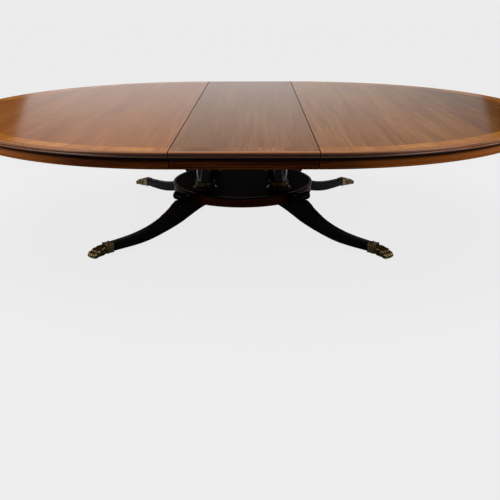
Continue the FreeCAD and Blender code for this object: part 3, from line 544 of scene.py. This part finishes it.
# Columns
# Four turned columns of black-stained wood with moulded feet and plain shafts.
# They are tenoned into the platform below and the upper block above.
polished_black = black_stain("polished_black", 0.38, 0.02, marks=0.00003)
dress(polished_black, *(name for name in nodes if name.startswith("column_") and name != "column_collars"))


# Column collars
# Plain brass rings at the foot and the head of each shaft, pushed on before the column is glued up.
# They have darkened almost to the black of the wood, with a dull gleam of metal.
dark_bronze, shader, place = new_finish("dark_bronze", {"Metallic": 1})
patch = place.noise(45, 5, 0.65).step(0.4, 0.7)
patch.blend((0.1, 0.075, 0.03, 1), (0.024, 0.018, 0.009, 1)).feed(shader, "Base Color")
(0.34 + patch * 0.2).feed(shader, "Roughness")
place.noise(500, 2).dent(0.0001).feed(shader, "Normal")
RING_ARRIS = 0.0022
collars = copy_of("column_collars", "turned_collars")
finish_with(
    collars, "BEVEL", width=RING_ARRIS, segments=3, limit_method="ANGLE", angle_limit=math.radians(40),
)
bpy.ops.object.shade_smooth_by_angle(angle=math.radians(40))
collars.data.materials.clear()
collars.data.materials.append(dark_bronze)
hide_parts("column_collars")
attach(collars, "base")


# Upper block, slide rails and runners
# A thick block of plain beech carries two grooved rails; the runners under the two ends slide on them.
# None of it is polished, and the grain of each bar runs along its length.
def bar_grain(place):
    """The lay of a grain along X."""
    return place


beech_tones = ((0.26, 0.15, 0.075), (0.36, 0.22, 0.115), (0.46, 0.3, 0.17))
beech = timber("plain_beech", bar_grain, beech_tones, 0.5)
dress(beech, "pedestal_block", "rail_front", "rail_back", "leaf_pegs")
for end in ("left", "right"):
    dress(beech, f"{end}_runner_front", f"{end}_runner_back", f"{end}_cross_bar", f"{end}_blocks")
dress(beech, "leaf_blocks")


# Top boards
# Two D-shaped ends and a straight leaf of solid mahogany under a high polish.
# The grain of all three runs from the front to the back, and the leaf is browner than the ends.
LEAF_HALF = 0.3525
TOP_RADIUS = 1.485
TOP_FACE = 0.75


def board_grain(offset):
    """The lay of a grain along Y, from a different length of the log for each board."""
    def lay(place):
        x, y, z = place.split()
        return place.vector(y + offset, x, z)
    return lay


def seam_grime(place):
    """A dark line of old wax along both seams, wide enough to fill their gaps."""
    x, _, _ = place.split()
    return 1 - abs(abs(x) - LEAF_HALF).step(0.0014, 0.0036)


def underside(place):
    """All of a board but its polished top face."""
    _, _, z = place.split()
    return 1 - z.step(TOP_FACE - 0.003, TOP_FACE - 0.001)


def right_painted_shade(place):
    """Painted shade that deepens the right end's tone towards its tip."""
    x, _, _ = place.split()
    return x.step(0.8, 1.6) * -0.17


left_tones = ((0.194, 0.058, 0.012), (0.28, 0.092, 0.019), (0.41, 0.15, 0.035))
right_tones = ((0.125, 0.044, 0.01), (0.246, 0.091, 0.018), (0.365, 0.148, 0.035))
leaf_tones = ((0.14, 0.05, 0.014), (0.2, 0.075, 0.022), (0.285, 0.118, 0.038))
for board, offset, tones, tint in (
    ("left", 4.0, left_tones, None),
    # The right end is darkened towards its tip by painted shade.
    ("right", 13.0, right_tones, right_painted_shade),
    ("leaf", 22.0, leaf_tones, None),
):
    mahogany = timber(f"{board}_mahogany", board_grain(offset), tones, 0.07, tint, seam_grime, raw=underside)
    dress(mahogany, f"{board}_top")


# Crossbands
# Strips of paler veneer let in round the rim of each board, polished level with it.
# They are laid in short lengths, with the grain across the band, so each length has its own tone.
BAND_LENGTH = 0.24


def band_tint(place, along):
    """The tone of the length of veneer that lies at a distance along the band."""
    length = place.sum("FLOOR", along / BAND_LENGTH)
    chance = place.node("ShaderNodeTexWhiteNoise", {"noise_dimensions": "1D"}, {"W": length})
    return chance * 0.16 - 0.08


def end_band(name, centre, tones):
    """The crossband of a round end."""
    def lay(place):
        along, _, reach = rim_grain(centre, TOP_RADIUS)(place).split()
        return place.vector(reach, along, 0.0)

    def tint(place):
        along, _, _ = rim_grain(centre, TOP_RADIUS)(place).split()
        return band_tint(place, along)

    return timber(name, lay, tones, 0.08, tint, seam_grime)


def leaf_band_tint(place):
    """The crossband's tone along the leaf, which fades into the leaf's own brown."""
    x, y, _ = place.split()
    return (place.vector(x * 6, y * 3, 0.0).noise(1, 1) - 0.53) * 0.7


left_band_tones = ((0.3, 0.095, 0.013), (0.42, 0.145, 0.019), (0.56, 0.22, 0.036))
right_band_tones = ((0.24, 0.077, 0.012), (0.35, 0.122, 0.018), (0.48, 0.19, 0.034))
leaf_band_tones = ((0.135, 0.049, 0.014), (0.215, 0.08, 0.022), (0.36, 0.14, 0.03))
dress(end_band("left_band", -LEAF_HALF, left_band_tones), "left_crossband")
dress(end_band("right_band", LEAF_HALF, right_band_tones), "right_crossband")
leaf_band = timber("leaf_band", board_grain(31.0), leaf_band_tones, 0.08, leaf_band_tint, seam_grime)
dress(leaf_band, "leaf_crossband_front", "leaf_crossband_back")


# Edges and aprons
# A lipping with two reeds round each board, and under it a veneered apron with a bead along its foot.
# Both are of darker mahogany, with the grain along the edge; glue blocks hold the aprons to the boards.
APRON_HEAD = 0.72
LIP_SHADE = 0.7245
LIP_ARRIS = 0.749
LIP_GLOSS = 0.8
APRON_GLOSS = 0.05


def apron_wax_and_shade(place):
    """The wax along the seams, and a band of painted shade under the lipping."""
    _, _, z = place.split()
    return place.sum("MAXIMUM", seam_grime(place), z.step(APRON_HEAD - 0.03, APRON_HEAD - 0.014) * 0.9)


def lip_wax_and_shade(place):
    """The wax along the seams, and painted shade in the hollow under the lower reed."""
    _, _, z = place.split()
    return place.sum("MAXIMUM", seam_grime(place), 1 - z.step(LIP_SHADE, LIP_SHADE + 0.003))


def lip_painted_light(place):
    """A painted highlight along the lipping's top arris, and painted light that makes its two round ends
    paler.
    """
    x, _, z = place.split()
    return z.step(LIP_ARRIS - 0.004, LIP_ARRIS) * 0.6 + abs(x).step(0.4, 0.9) * 0.14 - 0.08


def apron_tint(place):
    """Paler and more golden towards the two ends, sooner on the right."""
    x, _, _ = place.split()
    return place.sum("MAXIMUM", x.step(0.4, 0.75), (0.0 - x).step(0.72, 1.05)) * 0.16


edge_tones = ((0.05, 0.014, 0.006), (0.115, 0.036, 0.014), (0.31, 0.118, 0.04))
apron_tones = ((0.022, 0.003, 0.0005), (0.05, 0.008, 0.0008), (0.2, 0.055, 0.006))
# The lipping has a painted highlight on its top arris, painted light on its ends and painted shade under its
# lower reed; the apron has painted shade under the lipping.
for end, centre in (("left", -LEAF_HALF), ("right", LEAF_HALF)):
    lay = rim_grain(centre, TOP_RADIUS)
    lipping = timber(f"{end}_lipping", lay, edge_tones, 0.18, lip_painted_light, lip_wax_and_shade, LIP_GLOSS)
    dress(lipping, f"{end}_edge")
    veneer = timber(f"{end}_apron_veneer", lay, apron_tones, 0.24, apron_tint, apron_wax_and_shade, APRON_GLOSS)
    dress(veneer, f"{end}_apron")
leaf_lipping = timber("leaf_lipping", bar_grain, edge_tones, 0.18, lip_painted_light, lip_wax_and_shade, LIP_GLOSS)
dress(leaf_lipping, "leaf_edge_front", "leaf_edge_back")
leaf_veneer = timber("leaf_apron_veneer", bar_grain, apron_tones, 0.24, apron_tint, apron_wax_and_shade, APRON_GLOSS)
dress(leaf_veneer, "leaf_apron_front", "leaf_apron_back")


# Swivel catches
# Flat brass bars under the leaf that swing across a seam and hook on to a headed pin under the end.
# Each turns on a screw; they are bright where fingers and pins have rubbed them.
dress(antique_brass, *(name for name in nodes if name.startswith("catch_")), "left_keepers", "right_keepers")


# Floor
# A plain pale studio floor, which keeps a soft shadow of the table.
# Seen directly it has the backdrop's own tone; in a reflection it is dim under and before the table,
# but for a pale strip at each side.
BACKDROP = 0.838
GLOW = 0.905
CLOTH = 0.3
SHADOW_SHARE = 0.12
STRIP_REACH = 1.6
DIM_SHARE = 0.93
FLOOR_SIZE = 120
bpy.ops.object.select_all(action="DESELECT")
bpy.ops.mesh.primitive_plane_add(size=FLOOR_SIZE)
floor = bpy.context.object
floor.name = "floor"
floor_finish = bpy.data.materials.new("studio_floor")
floor_finish.use_nodes = True
tree = floor_finish.node_tree
tree.nodes.remove(tree.nodes["Principled BSDF"])
sight = Paint(tree)
path = sight.node("ShaderNodeLightPath").socket.node
glossy = Paint(tree, path.outputs["Is Glossy Ray"])
seen = sight.sum("MAXIMUM", Paint(tree, path.outputs["Is Camera Ray"]), glossy)
seen = sight.sum("MAXIMUM", seen, Paint(tree, path.outputs["Is Transmission Ray"]))
across, along, _ = sight.node("ShaderNodeTexCoord", output="Object").split()
aside = abs(across)
strip = (1 - abs(aside - STRIP_REACH).step(0.08, 0.2)) * along.step(-2.4, -2.0)
dimmed = glossy * (1 - along.step(0.2, 1.4)) * (1 - aside.step(1.9, 3.2)) * (1 - strip) * DIM_SHARE
cloth = sight.node("ShaderNodeBsdfDiffuse", inputs={"Color": (CLOTH, CLOTH, CLOTH, 1)})
glow = sight.node("ShaderNodeEmission", inputs={"Color": GLOW * (1 - dimmed), "Strength": 1})
mixed = sight.node("ShaderNodeMixShader", inputs={0: seen * (1 - SHADOW_SHARE), 1: cloth, 2: glow})
tree.links.new(mixed.socket, tree.nodes["Material Output"].inputs["Surface"])
floor.data.materials.append(floor_finish)


# Light
# A soft studio: a broad key from above and behind, and a lamp panel at each end, so the front is dim.
# A pale screen stands behind the table, and the polished top mirrors it.
KEY_ENERGY = 2.0
KEY_SPREAD = 50
KEY_TURN = (-22, -10, 0)
PANEL_PLACE = (5.6, -1.9, 2.4)
PANEL_SIZE = (2.2, 2.5)
PANEL_ENERGY = 280
PANEL_AIM = (0, 0, 0.7)
world = bpy.data.worlds.new("studio")
bpy.context.scene.world = world
world.use_nodes = True
tree = world.node_tree
sky = Paint(tree)
path = sky.node("ShaderNodeLightPath").socket.node
direction = sky.node("ShaderNodeTexCoord", output="Generated")
x, y, z = direction.split()
screen = (0.29 * y + 0.4 * z + x).step(0.0, 0.012) * (0.285 * y + 0.38 * z - x).step(0.0, 0.012)
screen_level = sky.sum("MAXIMUM", 0.97 - 3.8 * z, 0.06) * (1 - x.step(-0.02, 0.32) * 0.45)
behind = y.step(-0.3, 0.5)
room = 0.004 + 0.12 * z.step(0.3, 0.8) + 0.16 * (0.0 - y).step(0.25, 0.75) * z.step(0.02, 0.3)
lamps = 2.2 * abs(x).step(0.5, 0.7) * (0.0 - y).step(0.08, 0.3) * z.step(0.15, 0.35)
mirrored = screen * (screen_level - room) + room + lamps
around = 0.06 + 0.49 * sky.sum("MAXIMUM", behind, z.step(0.3, 0.9))
glossy = Paint(tree, path.outputs["Is Glossy Ray"])
through = Paint(tree, path.outputs["Is Transmission Ray"])
seen = sky.sum("MAXIMUM", Paint(tree, path.outputs["Is Camera Ray"]), through)
level = glossy * (mirrored - around) + around
level = seen * (BACKDROP - level) + level
tree.links.new(level.socket, tree.nodes["Background"].inputs["Color"])

bpy.ops.object.light_add(type="SUN", rotation=[math.radians(turn) for turn in KEY_TURN])
key = bpy.context.object
key.name = "key"
key.data.energy = KEY_ENERGY
key.data.angle = math.radians(KEY_SPREAD)
key.visible_glossy = False
for side in (-1, 1):
    bpy.ops.object.light_add(type="AREA", location=(side * PANEL_PLACE[0], *PANEL_PLACE[1:]))
    panel = bpy.context.object
    panel.name = "panel_left" if side < 0 else "panel_right"
    panel.data.shape = "RECTANGLE"
    panel.data.size, panel.data.size_y = PANEL_SIZE
    panel.data.energy = PANEL_ENERGY
    panel.visible_glossy = False
    aim = Vector(PANEL_AIM) - panel.location
    panel.rotation_euler = aim.to_track_quat("-Z", "Y").to_euler()


# Camera
# It stands in front of the table at the height of a standing viewer's chest and looks down at the top.
# The angle, height and lens come from the outline of the top and the two seams.
CAMERA_PLACE = (0.058, -4.55, 1.396)
CAMERA_TURN = 0.58
CAMERA_TILT = 69.9
CAMERA_ROLL = -0.18
LENS = 48.74
SENSOR = 36
bpy.ops.object.camera_add(location=CAMERA_PLACE)
camera = bpy.context.object
turned = Matrix.Rotation(math.radians(CAMERA_TURN), 3, "Z")
tilted = turned @ Matrix.Rotation(math.radians(CAMERA_TILT), 3, "X")
camera.rotation_euler = (tilted @ Matrix.Rotation(math.radians(CAMERA_ROLL), 3, "Z")).to_euler()
camera.data.lens = LENS
camera.data.sensor_width = SENSOR
bpy.context.scene.camera = camera
bpy.context.scene.view_settings.view_transform = "Standard"
